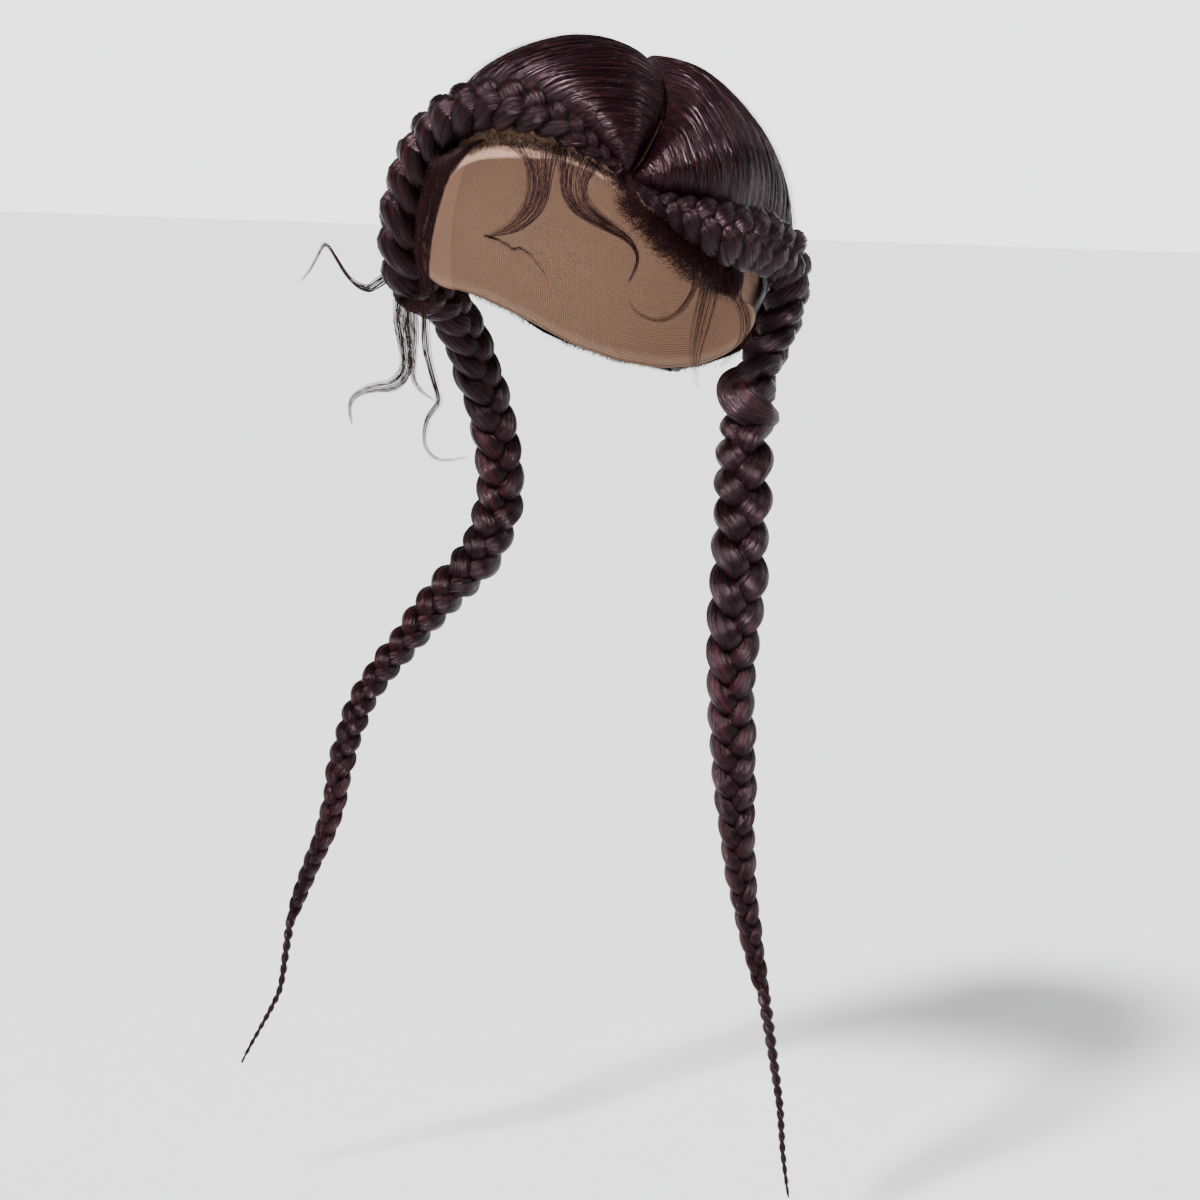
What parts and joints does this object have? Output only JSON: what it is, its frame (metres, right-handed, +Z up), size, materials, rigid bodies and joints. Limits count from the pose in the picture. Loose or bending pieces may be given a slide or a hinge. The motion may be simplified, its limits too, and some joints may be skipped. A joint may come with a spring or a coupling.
{
  "type": "braid wig",
  "caption": "Lace-front wig with a side parting, combed crown hair, plaits along the hairline and long tapering braids that hang over the shoulders.",
  "frame": {"origin": "inside top of the cap, where the crown of a head touches it", "axes": "+Z up along the head, -Y towards the front hairline, +X towards the wearer's left"},
  "size_m": [0.2833, 0.2019, 0.5432],
  "materials": {
    "hair": "satin fibre, very dark burgundy brown",
    "lace": "matt fine net, skin tone",
    "cap_knit": "matt brown knit"
  },
  "bodies": {
    "root": {"lace_front": "lace", "wig_cap": "cap_knit", "crown_hair_right": "hair", "crown_hair_left": "hair", "right_braid_strand_1": "hair", "right_braid_strand_2": "hair", "right_braid_strand_3": "hair", "left_braid_strand_1": "hair", "left_braid_strand_2": "hair", "left_braid_strand_3": "hair", "right_tail_twist": "hair", "left_tail_twist": "hair"}
  },
  "joints": []
}
